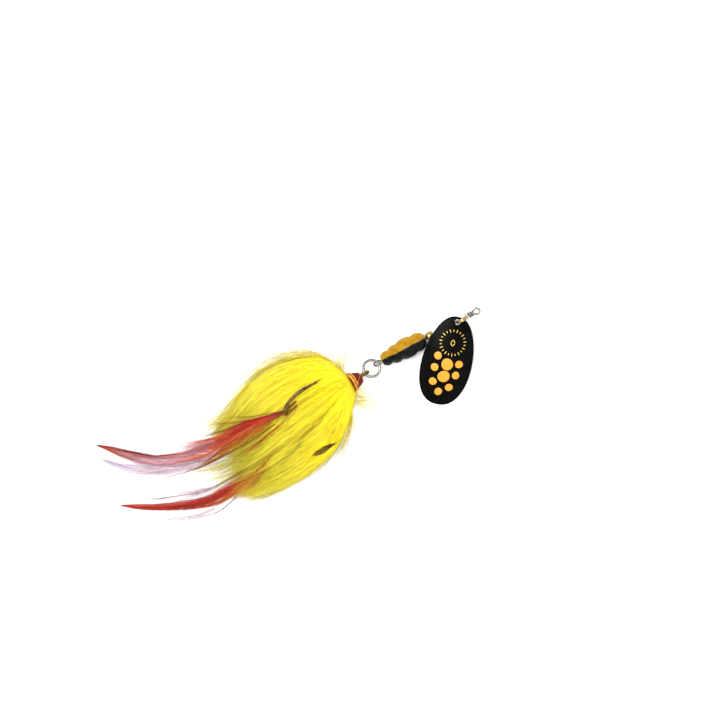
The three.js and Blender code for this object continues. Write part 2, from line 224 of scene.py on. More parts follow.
def colour(code):  # a screen colour such as "f5e41c" as linear light
    channels = [int(code[i:i + 2], 16) / 255 for i in (0, 2, 4)]
    return [c / 12.92 if c <= 0.04045 else ((c + 0.055) / 1.055) ** 2.4
            for c in channels] + [1]


def addNode(tree, kind, sockets=None, **settings):
    node = tree.nodes.new(kind)
    for key, value in settings.items():
        setattr(node, key, value)
    for key, value in (sockets or {}).items():
        if isinstance(value, bpy.types.NodeSocket):
            tree.links.new(value, node.inputs[key])
        else:
            node.inputs[key].default_value = value
    return node


def noise(tree, place, scale, detail=3, roughness=0.5):
    return addNode(tree, "ShaderNodeTexNoise", {"Vector": place, "Scale": scale,
                   "Detail": detail, "Roughness": roughness}).outputs["Fac"]


def remap(tree, value, low, high, newLow=0.0, newHigh=1.0):
    return addNode(tree, "ShaderNodeMapRange", {0: value, 1: low, 2: high, 3: newLow,
                   4: newHigh}).outputs[0]


def maths(tree, operation, a, b=0.0):
    return addNode(tree, "ShaderNodeMath", {0: a, 1: b}, operation=operation).outputs[0]


def mixed(tree, share, a, b, blend="MIX"):
    node = addNode(tree, "ShaderNodeMix", {0: share, 6: a, 7: b}, data_type="RGBA",
                   blend_type=blend)
    return node.outputs[2]


def ramp(tree, value, stops):  # stops of (place, colour)
    node = addNode(tree, "ShaderNodeValToRGB", {"Fac": value})
    while len(node.color_ramp.elements) < len(stops):
        node.color_ramp.elements.new(0.5)
    for element, (place, shade) in zip(node.color_ramp.elements, stops):
        element.position = place
        element.color = shade
    return node.outputs["Color"]


def mark(tree, name):
    return addNode(tree, "ShaderNodeAttribute", attribute_name=name).outputs["Fac"]


def newGroup(name, inputs, outputs):
    group = bpy.data.node_groups.new(name, "ShaderNodeTree")
    for label, (kind, value) in inputs.items():
        socket = group.interface.new_socket(label, in_out="INPUT", socket_type=kind)
        socket.default_value = value
    for label, kind in outputs.items():
        group.interface.new_socket(label, in_out="OUTPUT", socket_type=kind)
    return group, group.nodes.new("NodeGroupInput"), group.nodes.new("NodeGroupOutput")


def useGroup(tree, group, sockets):
    return addNode(tree, "ShaderNodeGroup", sockets, node_tree=group).outputs


def newFinish(name, **constants):
    finish = bpy.data.materials.new(name)
    finish.use_nodes = True
    tree = finish.node_tree
    shader = tree.nodes["Principled BSDF"]
    for label, value in constants.items():
        shader.inputs[label.replace("_", " ")].default_value = value
    return finish, tree, shader


def buildHandled():
    # handled surfaces: cloudy wear in the roughness, fine lines and pits in the height
    group, given, result = newGroup("handledSurface", {
        "Cloud size": ("NodeSocketFloat", 300.0), "Grain size": ("NodeSocketFloat", 4000.0),
        "Smooth": ("NodeSocketFloat", 0.2), "Rough": ("NodeSocketFloat", 0.4)},
        {"Roughness": "NodeSocketFloat", "Height": "NodeSocketFloat",
         "Cloud": "NodeSocketFloat"})
    place = addNode(group, "ShaderNodeTexCoord").outputs["Object"]
    cloud = noise(group, place, given.outputs["Cloud size"], 4, 0.6)
    grain = noise(group, place, given.outputs["Grain size"], 2, 0.5)
    stretched = addNode(group, "ShaderNodeMapping", {"Vector": place, "Scale": (0.25, 1, 1)})
    lines = noise(group, stretched.outputs[0], given.outputs["Grain size"], 1, 0.4)
    span = maths(group, "SUBTRACT", given.outputs["Rough"], given.outputs["Smooth"])
    wear = remap(group, maths(group, "MULTIPLY", cloud, maths(group, "ADD", lines, 0.5)),
                 0.3, 0.75)
    group.links.new(maths(group, "ADD", maths(group, "MULTIPLY", wear, span),
                          given.outputs["Smooth"]), result.inputs["Roughness"])
    group.links.new(maths(group, "ADD", grain, maths(group, "MULTIPLY", lines, 0.6)),
                    result.inputs["Height"])
    group.links.new(remap(group, cloud, 0.3, 0.7), result.inputs["Cloud"])
    return group


def buildStrandShade():
    # one fibre's colour: from root to tip, a little lighter or darker than its neighbours
    group, given, result = newGroup("strandShade", {
        "Root": ("NodeSocketColor", (1, 1, 1, 1)), "Middle": ("NodeSocketColor", (1, 1, 1, 1)),
        "Tip": ("NodeSocketColor", (1, 1, 1, 1)), "StainAndShade": ("NodeSocketColor", (0, 0, 0, 1)),
        "Tip start": ("NodeSocketFloat", 0.6), "Spread": ("NodeSocketFloat", 0.2)},
        {"Color": "NodeSocketColor", "Roughness": "NodeSocketFloat"})
    along, chance, stainAndShade = (mark(group, name) for name in ("along", "chance", "stainAndShade"))
    place = addNode(group, "ShaderNodeTexCoord").outputs["Object"]
    patch = noise(group, place, 900.0, 2)
    rootToMiddle = mixed(group, remap(group, along, 0.0, 0.35), given.outputs["Root"],
                         given.outputs["Middle"])
    toTip = remap(group, along, given.outputs["Tip start"], 1.0)
    whole = mixed(group, toTip, rootToMiddle, given.outputs["Tip"])
    # the stain colour is the ochre of a few hairs and also painted shade along the darker streaks
    stainedAndShaded = mixed(group, stainAndShade, whole, given.outputs["StainAndShade"])
    lightness = maths(group, "ADD", chance, maths(group, "MULTIPLY", patch, 0.6))
    low = maths(group, "SUBTRACT", 1.0, given.outputs["Spread"])
    shade = addNode(group, "ShaderNodeMapRange", {0: lightness, 1: 0.1, 2: 1.4, 3: low,
                    4: 1.1}).outputs[0]
    toned = addNode(group, "ShaderNodeHueSaturation", {"Color": stainedAndShaded, "Value": shade})
    group.links.new(toned.outputs["Color"], result.inputs["Color"])
    group.links.new(remap(group, patch, 0.3, 0.7, 0.38, 0.62), result.inputs["Roughness"])
    return group


handledGroup = buildHandled()
strandGroup = buildStrandShade()


def addBump(tree, shader, height, strength, distance):
    node = addNode(tree, "ShaderNodeBump", {"Height": height, "Strength": strength,
                                            "Distance": distance})
    tree.links.new(node.outputs[0], shader.inputs["Normal"])


def handledFinish(name, base, cloudy, smooth, rough, bump=0.0, cloudSize=300.0,
                  grainSize=4000.0, **constants):
    finish, tree, shader = newFinish(name, **constants)
    outputs = useGroup(tree, handledGroup, {"Cloud size": cloudSize, "Grain size": grainSize,
                                            "Smooth": smooth, "Rough": rough})
    tree.links.new(mixed(tree, outputs["Cloud"], colour(base), colour(cloudy)),
                   shader.inputs["Base Color"])
    tree.links.new(outputs["Roughness"], shader.inputs["Roughness"])
    if bump:
        addBump(tree, shader, outputs["Height"], bump, 0.00005)
    return finish


def groupFinish(name, group, sockets, **constants):  # colour and roughness from a group
    finish, tree, shader = newFinish(name, **constants)
    outputs = useGroup(tree, group, sockets)
    tree.links.new(outputs["Color"], shader.inputs["Base Color"])
    tree.links.new(outputs["Roughness"], shader.inputs["Roughness"])
    return finish


view = {"lens": 100, "height": 0.8622, "aim": (-46.6, 8.3), "turn": -27.715}


def makeCamera():
    data = bpy.data.cameras.new("overhead")
    data.lens = view["lens"]
    data.clip_start = 0.01
    camera = bpy.data.objects.new("overhead", data)
    x, y, _ = placed([[*view["aim"], 0]])[0]
    camera.location = (x, y, view["height"])
    camera.rotation_euler = (0, 0, math.radians(view["turn"]))
    bpy.context.scene.collection.objects.link(camera)
    bpy.context.scene.camera = camera


table = {"half": 4.0, "tone": "f4f4f4"}
lamp = {"energy": 13.9, "size": 0.6, "place": (-0.12, 0.22, 1.12)}
fill = {"energy": 3.2, "size": 1.2, "place": (0.5, -0.5, 1.2)}
surround = {"side": 1.5, "top": 0.8}  # strength of the light from the horizon and from above


def makeTable():
    half = table["half"]
    mesh = bpy.data.meshes.new("table")
    mesh.from_pydata([(-half, -half, 0), (half, -half, 0), (half, half, 0), (-half, half, 0)],
                     [], [(0, 1, 2, 3)])
    finish, tree, shader = newFinish("tableTop", Roughness=0.75)
    shader.inputs["Specular IOR Level"].default_value = 0.2
    place = addNode(tree, "ShaderNodeTexCoord").outputs["Object"]
    tree.links.new(mixed(tree, noise(tree, place, 3.0), colour(table["tone"]),
                         colour("ffffff")), shader.inputs["Base Color"])
    mesh.materials.append(finish)
    top = bpy.data.objects.new("table", mesh)
    bpy.context.scene.collection.objects.link(top)


def makeLamp(name, settings):
    data = bpy.data.lights.new(name, "AREA")
    data.energy = settings["energy"]
    data.size = settings["size"]
    light = bpy.data.objects.new(name, data)
    light.location = settings["place"]
    aim = -np.array(settings["place"])
    light.rotation_euler = (math.acos(-aim[2] / np.linalg.norm(aim)), 0,
                            math.atan2(aim[1], aim[0]) - math.pi / 2)
    bpy.context.scene.collection.objects.link(light)


def makeSurround():
    world = bpy.data.worlds.new("surround")
    world.use_nodes = True
    tree = world.node_tree
    way = addNode(tree, "ShaderNodeTexCoord").outputs["Generated"]
    height = addNode(tree, "ShaderNodeSeparateXYZ", {0: way}).outputs["Z"]
    tree.links.new(remap(tree, height, 0.2, 0.95, surround["side"], surround["top"]),
                   tree.nodes["Background"].inputs["Strength"])
    tree.nodes["Background"].inputs["Color"].default_value = (1, 1, 1, 1)
    bpy.context.scene.world = world
    bpy.context.scene.view_settings.view_transform = "Standard"


makeCamera()
makeTable()
makeLamp("keyLamp", lamp)
makeLamp("fillLamp", fill)
makeSurround()
print("camera, table and light are set")


springSteel = handledFinish("springSteel", "65625e", "8a8781", 0.16, 0.38, 0.10,
                            500.0, 6000.0, Metallic=1.0)
ringSteel = handledFinish("ringSteel", "75726d", "a09d98", 0.2, 0.36, 0.08,
                          300.0, 6000.0, Metallic=0.9)
hookBronze = handledFinish("hookBronze", "3a2a0a", "785a1e", 0.24, 0.44, 0.15,
                           350.0, 5000.0, Metallic=0.7)
paleBrass = handledFinish("paleBrass", "8c7a48", "b4a070", 0.2, 0.4, 0.08,
                          450.0, 6000.0, Metallic=1.0)
bladeBlack = handledFinish("bladeBlack", "040403", "090908", 0.22, 0.36, 0.10,
                           120.0, 7000.0, Specular_IOR_Level=0.03)
dotOrange = handledFinish("dotOrange", "cf8410", "dc9218", 0.35, 0.5, 0.08, 700.0, 6000.0)
markGold = handledFinish("markGold", "b9962e", "d8b548", 0.3, 0.5, 0.10, 900.0, 7000.0,
                         Metallic=0.3)


shaft = {"wire": 0.45, "wrapReach": 0.95, "rearLoopX": -39.35, "rearLoop": 1.75,
         "rearRoll": 120, "tagEnd": -33.2, "eyeX": 9.4, "eye": 1.35, "wraps": 2,
         "wrapFront": 7.45, "wrapPitch": 1.0}


def shaftPath():
    across = turnAboutX(shaft["rearRoll"]) @ [0, 1, 0]
    beside = lambda x, reach: np.array([[x, 0, 0]]) + reach * across
    turn = np.radians(50) + np.arange(0, 12 * shaft["wraps"] + 1) * np.pi / 6
    wraps = np.stack([shaft["wrapFront"] - shaft["wrapPitch"] * np.arange(len(turn)) / 12,
                      shaft["wrapReach"] * np.cos(turn), shaft["wrapReach"] * np.sin(turn)], 1)
    loop = arc((shaft["rearLoopX"], 0, 0), (1, 0, 0), across, shaft["rearLoop"], 34, 322, 15)
    eye = arc((shaft["eyeX"], 0, 0), (1, 0, 0), (0, 1, 0), shaft["eye"], -145, 140, 15)
    straight = [beside(x, 0) for x in (-36.9, -35, -20, -5, 5.5, 7.3)]
    tag = [beside(x, shaft["wrapReach"]) for x in (shaft["tagEnd"], -35.2, -37.1)]
    return np.vstack([*tag, loop, *straight, eye, wraps])


def makeShaft():
    path = evenPath(shaftPath(), 0.22) + [0, 0, shaftZ]
    radius = np.full(len(path), shaft["wire"])
    radius[[0, -1]] *= 0.7  # the cut ends are a little rounded
    addGrid("shaftWire", tubeGrid(path, radius, 16), False, springSteel, "shaft",
            "wire_steel", stands=["shaft_wire"])


makeShaft()
frame["nodes"]["clevis"].data.materials.clear()
frame["nodes"]["clevis"].data.materials.append(paleBrass)


beadBore = 0.6
beadRows = {"bearing_bead_front": (-2.75, 1.7, "front_bead"),
            "bearing_bead_middle": (-7.3, 2.0, "middle_bead"),
            "bearing_bead_rear": (-13.7, 2.1, "rear_bead")}
bodyShape = {"rear": -37.2, "front": -16.0, "bore": 0.65, "pocket": 1.5, "pocketEnd": -32.0,
             "lobes": ((-34.7, 3.3, 3.1, 0), (-30.5, 4.15, 3.9, 0), (-25.1, 4.7, 5.0, 0.6),
                       (-19.8, 4.15, 4.4, 0)), "valley": 0.22}


def makeBeads():
    for node, (x, radius, body) in beadRows.items():
        bore = math.asin(beadBore / radius)
        angle = np.linspace(bore, math.pi - bore, 40)
        profile = np.stack([radius * np.sin(angle), x - radius * np.cos(angle)], axis=1)
        grid = lathePoints(profile, 56) + [0, 0, shaftZ]
        addGrid(node.replace("bearing_bead", "bead"), grid, True, paleBrass, body,
                "bead_brass", stands=[node])


def bodyRadius(x):  # the lobes are half ellipses, and the groove between two is rounded
    reach = np.array([radius * np.sqrt(np.maximum(0, 1 - (np.maximum(
        0, np.abs(x - centre) - flat) / half) ** 2))
        for centre, radius, half, flat in bodyShape["lobes"]])
    top = np.sort(reach, axis=0)
    close = np.clip(1 - (top[-1] - top[-2]) / (2 * bodyShape["valley"]), 0, 1)
    return top[-1] + bodyShape["valley"] * 0.5 * close ** 2


def bodyFinish():
    # two paints that meet along the sides: golden on the +Y half, black on the other
    finish, tree, shader = newFinish("bodyPaint", Specular_IOR_Level=0.12)
    outputs = useGroup(tree, handledGroup, {"Cloud size": 260.0, "Grain size": 5000.0,
                                            "Smooth": 0.22, "Rough": 0.4})
    place = addNode(tree, "ShaderNodeTexCoord").outputs["Object"]
    parts = addNode(tree, "ShaderNodeSeparateXYZ", {0: place}).outputs
    drift = maths(tree, "MULTIPLY", maths(tree, "SUBTRACT", noise(tree, place, 220.0), 0.5),
                  0.0016)
    side = maths(tree, "SUBTRACT", maths(tree, "ADD", parts["Y"], drift), shaftY / 1000)
    golden = mixed(tree, outputs["Cloud"], colour("805a06"), colour("ac820a"))
    black = mixed(tree, outputs["Cloud"], colour("030303"), colour("080809"))
    mask = remap(tree, side, -0.0001, 0.00025)
    tree.links.new(mixed(tree, mask, black, golden), shader.inputs["Base Color"])
    tree.links.new(outputs["Roughness"], shader.inputs["Roughness"])
    height = maths(tree, "ADD", mask, maths(tree, "MULTIPLY", outputs["Height"], 0.2))
    addBump(tree, shader, height, 0.5, 0.00004)
    return finish


def makeBody():
    b = bodyShape
    x = b["front"] + (b["rear"] - b["front"]) * np.linspace(0, 1, 180)
    outside = np.stack([np.maximum(bodyRadius(x), b["bore"] + 0.3), x], axis=1)
    pocket = np.array([[b["pocket"], b["rear"]], [b["pocket"], b["pocketEnd"]],
                       [b["bore"], b["pocketEnd"]], [b["bore"], b["front"]]])
    lines = [pocket[i] + (pocket[i + 1] - pocket[i]) * np.linspace(0, 1, 8)[:, None]
             for i in range(3)]
    grid = lathePoints(np.vstack([outside, *lines]), 80) + [0, 0, shaftZ]
    addGrid("lobedBody", grid, True, bodyFinish(), "weight", "body_amber",
            stands=["lobed_body"])


makeBeads()
makeBody()
print("shaft, beads and body are made")


blade = {"length": 40, "width": 22.3, "thickness": 0.8, "dish": 2.4, "hole": 1.3,
         "fromEnd": 2.3, "turn": 48.7, "pitch": 11.6, "roll": 5.7, "at": (-0.5, -0.3, 9.15)}
bladeMatrix = (turnAboutZ(180 + blade["turn"]) @ turnAboutY(blade["pitch"])
               @ turnAboutX(-blade["roll"]))
dots = {"large": (2.6, ((18.8, -0.1), (24.4, -0.3))),
        "small": (1.68, ((15.9, -4.9), (21.2, -5.1), (27.6, -4.35), (31.6, -0.9), (28.8, 3.2),
                         (22.9, 4.75), (17.8, 5.0))), "lift": 0.06, "seed": 11}
ringMarks = {"centre": (9.1, 0.1), "inner": 4.5, "outer": 6.1, "count": 22,
             "lengths": (0.75, 0.5), "barHalf": 0.2, "lift": 0.05,
             "diamond": (1.5, 1.0), "diamondSide": 0.85}


def bladeHeight(u, v):  # a shallow paraboloid, stretched along the blade
    half = blade["length"] / 2
    crown = half - blade["fromEnd"]
    return blade["dish"] * ((crown / half) ** 2 - ((u - crown) / half) ** 2
                            - (2 * v / blade["width"]) ** 2)


def bladeOutline(count):  # distance from the hole to the edge, for even angles about the hole
    a = np.linspace(0, np.pi, 400)
    half = blade["width"] / 2.012 * np.sin(a) ** 0.85 * (1 - 0.1 * np.cos(a))
    u = blade["length"] * (1 - np.cos(a)) / 2 - blade["fromEnd"]
    way = np.arctan2(half, u)[::-1]
    angle = np.linspace(-np.pi, np.pi, count, endpoint=False)
    return angle, np.interp(np.abs(angle), way, np.hypot(half, u)[::-1])


def onBlade(u, v, lift):
    local = np.stack(np.broadcast_arrays(u, v, bladeHeight(u, v) + lift), axis=-1)
    return local @ bladeMatrix.T + blade["at"]


def makeBlade():
    angle, edge = bladeOutline(224)
    half = blade["thickness"] / 2
    part = np.linspace(0, 1, 30) ** 0.8
    flat = blade["hole"] + (edge[None] - half - blade["hole"]) * part[:, None]
    turn = np.linspace(0, np.pi, 9)[1:-1]
    rim = edge[None] - half + half * np.sin(turn)[:, None]
    reach = np.vstack([flat, rim, flat[::-1]])
    lift = np.concatenate([np.full(30, half), half * np.cos(turn), np.full(30, -half)])
    grid = onBlade(reach * np.cos(angle), reach * np.sin(angle), lift[:, None])
    addGrid("bladeShell", grid, True, bladeBlack, "spinner_blade", "blade_black",
            stands=["blade"])


def padOnBlade(centre, reach, angle, lift):
    # a patch of paint: the centre fans out to a given reach, slightly domed, with a hidden base
    rows = np.array([0.02, 0.4, 0.75, 0.93, 1.0, 1.0, 0.02])
    lifts = np.array([1.0, 1.0, 0.95, 0.7, 0.15, -1.0, -1.0]) * lift
    u = centre[0] + rows[:, None] * reach * np.cos(angle)
    v = centre[1] + rows[:, None] * reach * np.sin(angle)
    return onBlade(u, v, blade["thickness"] / 2 + lifts[:, None])


def makeDots():
    angle = np.linspace(0, 2 * np.pi, 40, endpoint=False)
    chance = np.random.default_rng(dots["seed"])
    for size in ("large", "small"):
        radius, centres = dots[size]
        for i, centre in enumerate(centres):
            wobble = 1 + 0.03 * np.sin(2 * angle + chance.uniform(0, 6))
            wobble += 0.015 * np.sin(3 * angle + chance.uniform(0, 6))
            grid = padOnBlade(centre, radius * wobble, angle, dots["lift"])
            addGrid(f"{size}Dot{i + 1}", grid, False, dotOrange, "spinner_blade",
                    "blade_black")


def addBar(name, middle, way, length):
    # a small ellipse of paint, turned about its middle to a given way
    around = np.linspace(0, 2 * np.pi, 24, endpoint=False)
    along, across = length * np.cos(around), ringMarks["barHalf"] * np.sin(around)
    bar = np.arctan2(along * math.sin(way) + across * math.cos(way),
                     along * math.cos(way) - across * math.sin(way))
    grid = padOnBlade(middle, np.hypot(along, across), bar, ringMarks["lift"])
    addGrid(name, grid, False, markGold, "spinner_blade", "blade_black")


def makeMarks():
    # a ring of short gold bars, in turn long and short, round a small open diamond
    cu, cv = ringMarks["centre"]
    reach = (ringMarks["inner"] + ringMarks["outer"]) / 2
    for i in range(ringMarks["count"]):
        way = 2 * math.pi * (i + 0.5) / ringMarks["count"]
        middle = (cu + reach * math.cos(way), cv + reach * math.sin(way))
        addBar(f"goldBar{i + 1}", middle, way, ringMarks["lengths"][i % 2])
    turn = np.linspace(0, 2 * np.pi, 4, endpoint=False)
    wide, high = ringMarks["diamond"]
    for i in range(4):
        a, b = ((cu + wide * math.cos(t), cv + high * math.sin(t))
                for t in (turn[i], turn[(i + 1) % 4]))
        middle = ((a[0] + b[0]) / 2, (a[1] + b[1]) / 2)
        way = math.atan2(b[1] - a[1], b[0] - a[0])
        addBar(f"diamondSide{i + 1}", middle, way, ringMarks["diamondSide"])


makeBlade()
makeDots()
makeMarks()
print("blade and its marks are made")


splitRing = {"radius": 3.65, "wire": 0.34, "flat": 1.8, "pitch": 0.7, "turns": 1.96,
             "front": (-39.3, 0, 4.7), "yaw": 13, "tilt": 12.5}


def makeRing():
    # a point is the helix's point plus the round wire's offset, with the part of the offset that
    # points away from the ring's axis made larger
    part = np.linspace(0, 1, 190)
    turn = (part * splitRing["turns"] + 0.25) * 2 * np.pi
    path = np.stack([splitRing["radius"] * (np.cos(turn) - 1),
                     splitRing["radius"] * np.sin(turn),
                     splitRing["pitch"] * splitRing["turns"] * (part - 0.5)], axis=1)
    grid = tubeGrid(path, splitRing["wire"], 14)
    radial = np.stack([np.cos(turn), np.sin(turn), 0 * turn], axis=1)[:, None]
    offset = ((grid - path[:, None]) * radial).sum(axis=-1, keepdims=True)
    grid = grid + radial * offset * (splitRing["flat"] - 1)
    grid = grid @ (turnAboutZ(splitRing["yaw"]) @ turnAboutY(splitRing["tilt"])).T
    grid = grid + splitRing["front"]
    addGrid("splitRing", grid, False, ringSteel, "ring", "wire_steel",
            stands=["split_ring"])


makeRing()


treble = {"wire": 0.75, "length": 43.3, "spread": 19.3, "point": 24.4, "tip": 8.6, "least": 0.06,
          "eye": 1.8, "shank": 0.92, "turns": (66, 186, 306), "at": (-46.7, -1.85, 6.25),
          "yaw": 2.3, "pitch": 20.5}
trebleMatrix = turnAboutZ(treble["yaw"]) @ turnAboutY(treble["pitch"])


def onTreble(points):  # from the hook's own frame, with the eye at zero and the shank along -X
    return np.asarray(points, float) @ trebleMatrix.T + treble["at"]


def outwards(degrees):
    return np.array([0, math.cos(math.radians(degrees)), math.sin(math.radians(degrees))])


def hookPath(turn, start):
    out = outwards(turn)
    bend = (treble["spread"] - treble["shank"]) / 2
    bendStart = treble["length"] - bend - treble["wire"]
    at = lambda along, away: np.array([[-along, 0, 0]]) + away * out
    curve = arc(at(bendStart, treble["shank"] + bend)[0], out, (-1, 0, 0), bend, 180, 0, 13)
    return np.vstack([at(start, treble["shank"]), at((start + bendStart) / 2, treble["shank"]),
                      at(bendStart - 4, treble["shank"]), curve,
                      at(treble["point"] + 5, treble["spread"] - 0.1),
                      at(treble["point"], treble["spread"] + 0.1)])


def taper(path, fromEnd):  # share of the full wire, by distance from a pointed end
    least = treble["least"]
    run = np.concatenate([[0], np.cumsum(np.linalg.norm(np.diff(path, axis=0), axis=1))])
    away = run if fromEnd == "start" else run[-1] - run
    return least + (1 - least) * np.clip(away / treble["tip"], 0, 1) ** 0.75


def barbPath(turn):
    out = outwards(turn)
    along = np.array([2.6, 4.6, 6.6, 8.6])[:, None] + treble["point"]
    away = treble["spread"] + np.array([-0.1, -0.5, -0.95, -1.5])[:, None]
    return smoothPath(-along * [[1, 0, 0]] + away * out, 14)


def forged(path, reach):
    # the bend is hammered: deeper in the hook's own plane, which holds the X axis
    grid = tubeGrid(path, reach, 18)
    across = unit(np.cross((1, 0, 0), path * (0, 1, 1)))[:, None]
    offset = grid - path[:, None]
    sideways = (offset * across).sum(axis=-1, keepdims=True) * across
    bent = np.clip((-path[:, 0] - 24) / 7, 0, 1)[:, None, None]
    return path[:, None] + sideways * (1 + 0.04 * bent) + (offset - sideways) * (1 + 0.42 * bent)


def makeHooks():
    upper, side, lower = treble["turns"]
    level = -outwards(side) * treble["shank"] / 2
    upright = -outwards(side + 90)
    eye = arc(level, (-1, 0, 0), upright, treble["eye"], 42, 318, 15)
    double = evenPath(np.vstack([hookPath(upper, 4.2)[::-1], eye, hookPath(lower, 4.2)]), 0.5)
    reach = treble["wire"] * taper(double, "start")
    reach *= taper(double, "end")
    third = evenPath(hookPath(side, 3.0), 0.5)
    thirdReach = treble["wire"] * taper(third, "end")
    addGrid("doubleHook", onTreble(forged(double, reach)), False, hookBronze,
            "dressed_hook", "hook_bronze", stands=["double_hook"])
    addGrid("thirdHook", onTreble(forged(third, thirdReach)), False,
            hookBronze, "dressed_hook", "hook_bronze", stands=["third_hook"])
    for name, turn in zip(("upperBarb", "sideBarb", "lowerBarb"), treble["turns"]):
        path = barbPath(turn)
        thin = np.linspace(0.66, 0.12, len(path))
        addGrid(name, onTreble(tubeGrid(path, thin, 10)), False, hookBronze,
                "dressed_hook", "hook_bronze")


makeHooks()
print("split ring and hooks are made")


head = {"start": 2.3, "neck": 2.35, "end": 8.3, "rim": 4.6, "bore": 2.0, "pitch": 0.42,
        "ridge": 0.07}
threadRed = handledFinish("threadRed", "4c0202", "700505", 0.5, 0.7, 0.25, 500.0, 5000.0,
                          Specular_IOR_Level=0.18)
goldWinds = {"count": 16, "radius": 0.1, "seed": 23}
goldThread = handledFinish("goldThread", "d88a1c", "e8b048", 0.3, 0.5, 0.1, 900.0, 6000.0)


def makeHead():
    # a cone with rounded ends, and a thread laid round it as a fine screw
    h = head
    place = np.linspace(0, 1, 130)
    along = h["start"] + (h["end"] - h["start"]) * place
    radius = h["neck"] + (h["rim"] - h["neck"]) * (1 - (1 - place) ** 1.15)
    radius -= 0.5 * np.clip((place - 0.9) / 0.1, 0, 1) ** 2
    radius -= 0.25 * np.clip((0.06 - place) / 0.06, 0, 1) ** 2
    angle = np.linspace(0, 2 * np.pi, 72, endpoint=False)
    screw = np.cos(2 * np.pi * along[:, None] / h["pitch"] - angle[None])
    reach = radius[:, None] + h["ridge"] * screw
    outside = np.stack([np.broadcast_to(-along[:, None], reach.shape),
                        reach * np.cos(angle), reach * np.sin(angle)], axis=-1)
    inner = np.linspace(h["end"], h["start"], 6)[:, None]
    bore = np.stack([np.broadcast_to(-inner, (6, 72)),
                     np.broadcast_to(h["bore"] * np.cos(angle), (6, 72)),
                     np.broadcast_to(h["bore"] * np.sin(angle), (6, 72))], axis=-1)
    addGrid("threadHead", onTreble(np.concatenate([outside, bore])), True, threadRed,
            "dressed_hook", "thread_red", stands=["thread_head"])


def makeGoldThreads():
    chance = np.random.default_rng(goldWinds["seed"])
    for i in range(goldWinds["count"]):
        start, drift = chance.uniform(0, 2 * np.pi), chance.uniform(2.2, 4.2)
        part = np.linspace(0, 1, 60)
        along = chance.uniform(4.8, 7.6) + 0.5 * np.sin(part * 5 + start) + 0.9 * part
        radius = 3.9 + 0.32 * (along - 5.8) + 0.18 * np.sin(part * 17 + start)
        turn = start + drift * part
        path = np.stack([-along, radius * np.cos(turn), radius * np.sin(turn)], axis=1)
        addGrid(f"goldThread{i + 1}", onTreble(tubeGrid(path, goldWinds["radius"], 6)), False,
                goldThread, "dressed_hook", "thread_red")


makeHead()
makeGoldThreads()


# the outline of the hair: place along X, left and right edge, top and underside
hairShape = np.array([
    (-53.4, 0.9, -5.6, 12.6, 6.2), (-54.6, 4.6, -8.0, 15.0, 3.2),
    (-56.6, 9.2, -10.4, 17.2, 1.4), (-61.0, 13.8, -15.4, 20.2, 0.6),
    (-67.0, 16.6, -20.6, 23.2, 0.4), (-75.0, 18.4, -24.6, 26.0, 0.3),
    (-83.0, 18.7, -27.3, 26.7, 0.3), (-90.0, 17.4, -28.4, 25.4, 0.3),
    (-98.0, 14.4, -28.8, 22.2, 0.3), (-106.0, 11.0, -28.2, 18.0, 0.3),
    (-114.0, 8.0, -26.8, 13.0, 0.4), (-124.0, 5.0, -24.6, 8.0, 0.5)])
# how far back the hair reaches, by the place across
hairEnds = np.array([(-28, -113), (-25, -122), (-20, -121), (-15, -118), (-9, -116),
                     (-3, -118), (3, -119), (8, -118), (12, -111), (19, -101)])
bucktail = {"perPiece": 3300, "points": 9, "inner": 0.1, "outer": 0.125, "seed": 5,
            "clumps": 110, "jitter": 0.02, "drift": 0.045, "spread": 0.055, "stray": 0.10,
            "strayShare": 0.12, "depthSpread": 0.035, "wander": 0.15}
strandRadius = 0.09  # of loose hairs and of the feathers' barbs
fineRows = 200  # points of a line that strands follow
# the third hook shows in a parting: two ends of the parting, its floor and the slope of its sides
parting = {"from": (-69.5, -22.2), "to": (-81.2, -23.3), "floorFrom": 12.4, "floorTo": 15.2,
           "half": 1.3, "slope": 0.55}
# 6a4a08 is the ochre of some hairs and also painted shade along the darker streaks
bucktailYellow = groupFinish("bucktailYellow", strandGroup, {
    "Root": colour("e6cc10"), "Middle": colour("fbe81c"), "Tip": colour("f6ec50"),
    "StainAndShade": colour("6a4a08"), "Tip start": 0.6, "Spread": 0.42}, Specular_IOR_Level=0.3)


def hairPlace(x):  # share of the hair's length at a place along X
    return np.interp(-x, -hairShape[:, 0], np.linspace(0, 1, len(hairShape)))


def hairSurface(part, turn, depth):
    # the outline's middle plus its half width times the cosine and half height times the sine
    spot = np.clip(part, 0, 1) * (len(hairShape) - 1)
    rows = [np.interp(spot, np.arange(len(hairShape)), hairShape[:, i]) for i in range(5)]
    x, left, right, top, low = rows
    y = (left + right) / 2 + depth * (left - right) / 2 * np.cos(turn)
    z = (top + low) / 2 + depth * (top - low) / 2 * np.sin(turn)
    return np.stack([x, y, z], axis=-1)


